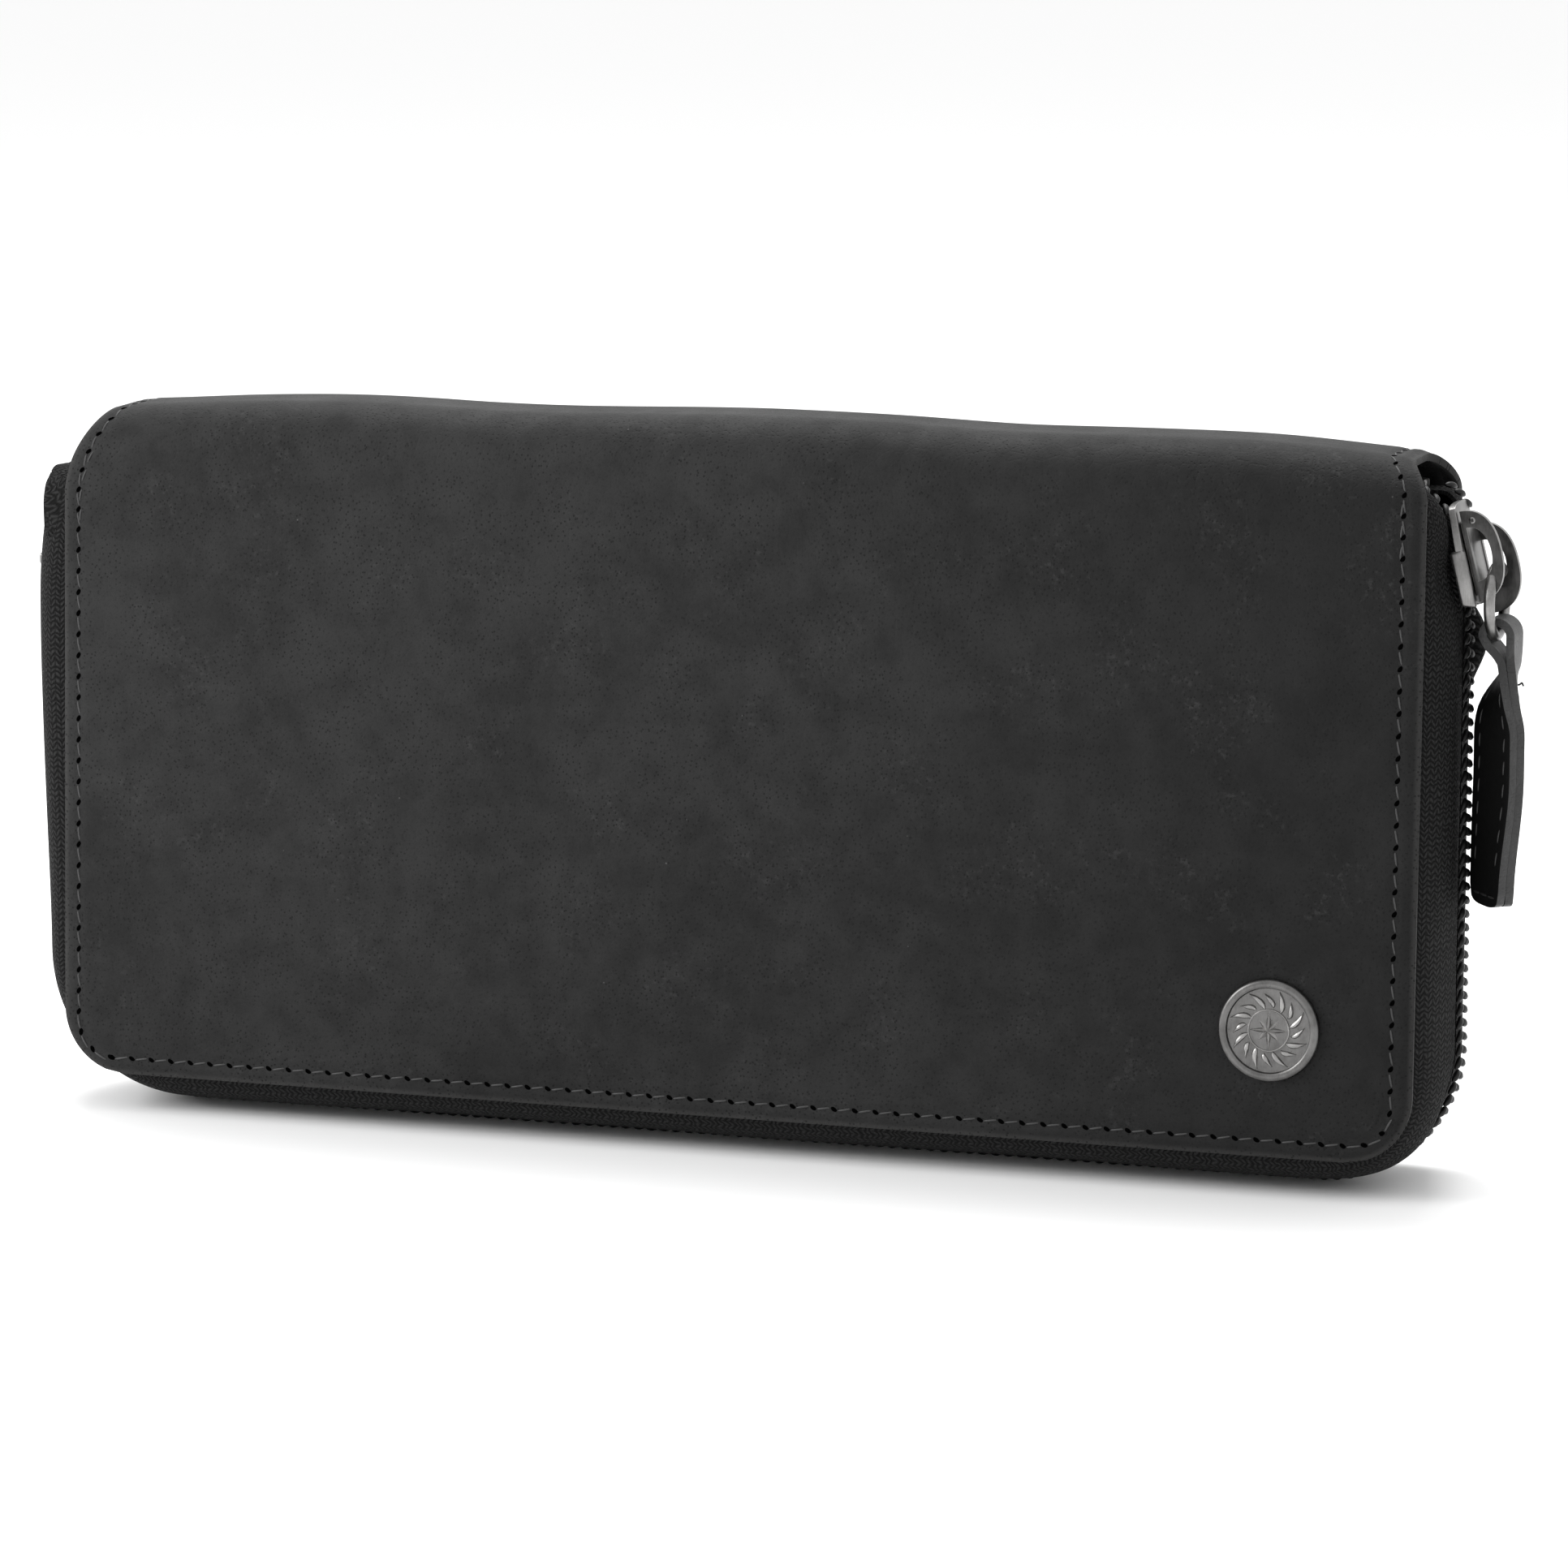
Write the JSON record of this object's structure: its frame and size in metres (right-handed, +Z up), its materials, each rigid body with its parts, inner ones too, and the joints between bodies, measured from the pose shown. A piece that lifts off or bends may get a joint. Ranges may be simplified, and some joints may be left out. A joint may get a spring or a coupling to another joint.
{
  "type": "long wallet",
  "caption": "Zip-around long wallet in black leather with a coil zip on three sides, a ring pull, card tiers, two bill compartments and a zipped coin pocket.",
  "frame": {"origin": "middle of the footprint, on the surface that the wallet stands on", "axes": "+X along the wallet to the end where the slider is parked, -Y out of the front cover, +Z up to the spine"},
  "size_m": [0.2288, 0.0314, 0.1078],
  "materials": {
    "leather": "matte nubuck with open pores",
    "lining": "fine plain-weave lining",
    "board": "pressed stiffener board",
    "zip_tape": "herringbone woven polyester tape",
    "zip_coil": "glossy nylon coil",
    "metal": "satin nickel plate",
    "thread": "twisted polyester thread"
  },
  "bodies": {
    "back_half": {"back_cover": "leather", "back_board": "board", "back_lining": "lining", "back_card_backing": "lining", "back_card_tier_1": "leather", "back_card_tier_2": "leather", "back_card_tier_3": "leather", "spine_leather": "leather", "spine_lining": "lining", "rear_zip_tape": "zip_tape", "rear_zip_coil": "zip_coil", "rear_top_stop": "metal", "bottom_stop": "metal", "left_bellows_rear": "lining", "right_bellows_rear": "lining"},
    "front_half": {"front_cover": "leather", "front_board": "board", "front_lining": "lining", "front_card_backing": "lining", "front_card_tier_1": "leather", "front_card_tier_2": "leather", "front_card_tier_3": "leather", "front_zip_tape": "zip_tape", "front_zip_coil": "zip_coil", "front_top_stop": "metal", "badge": "metal", "badge_washer": "metal", "left_bellows_front": "lining", "right_bellows_front": "lining"},
    "coin_pocket": {"coin_front_panel": "lining", "coin_rear_panel": "lining", "coin_gusset": "lining", "coin_front_tape": "zip_tape", "coin_rear_tape": "zip_tape", "coin_front_coil": "zip_coil", "coin_rear_coil": "zip_coil", "coin_stop": "metal"},
    "slider": {"slider_body": "metal", "slider_crown": "metal"},
    "ring": {"pull_ring": "metal"},
    "pull": {"pull_tab": "leather"},
    "coin_slider": {"coin_slider": "metal"},
    "coin_puller": {"coin_puller": "metal"}
  },
  "joints": [
    {"name": "cover_open", "type": "hinge", "parent": "back_half", "child": "front_half", "pos_m": [-0.0014, 0.00058, 0.106], "axis": [-1, 0, 0], "range_deg": [0, 60], "deforming": ["front_zip_tape", "front_zip_coil", "spine_leather", "spine_lining", "left_bellows_front", "right_bellows_front", "left_bellows_rear", "right_bellows_rear"]},
    {"name": "divider_swing", "type": "hinge", "parent": "back_half", "child": "coin_pocket", "pos_m": [-0.0014, 0.00058, 0.106], "axis": [-1, 0, 0], "range_deg": [0, 30], "deforming": ["front_zip_tape", "front_zip_coil", "spine_leather", "spine_lining", "left_bellows_front", "right_bellows_front", "left_bellows_rear", "right_bellows_rear"]},
    {"name": "slider_travel", "type": "slide", "parent": "back_half", "child": "slider", "axis": [0, 0, -1], "range_m": [0, 0.058], "deforming": ["front_zip_tape", "front_zip_coil", "rear_zip_tape", "rear_zip_coil"]},
    {"name": "ring_swing", "type": "hinge", "parent": "slider", "child": "ring", "pos_m": [0.1111, 0.00058, 0.0913], "axis": [0, -1, 0], "range_deg": [0, 120]},
    {"name": "tab_swing", "type": "hinge", "parent": "ring", "child": "pull", "pos_m": [0.1111, 0.00058, 0.0813], "axis": [0, -1, 0], "range_deg": [-2, 75]},
    {"name": "coin_slider_travel", "type": "slide", "parent": "coin_pocket", "child": "coin_slider", "axis": [-1, 0, 0], "range_m": [0, 0.15], "deforming": ["coin_front_coil", "coin_rear_coil", "coin_front_tape", "coin_rear_tape"]},
    {"name": "coin_puller_swing", "type": "hinge", "parent": "coin_slider", "child": "coin_puller", "pos_m": [0.0813, 0.00058, 0.0143], "axis": [0, -1, 0], "range_deg": [0, 30]}
  ],
  "couplings": [
    {"joint": "divider_swing", "follows": "cover_open", "ratio": 0.5}
  ]
}
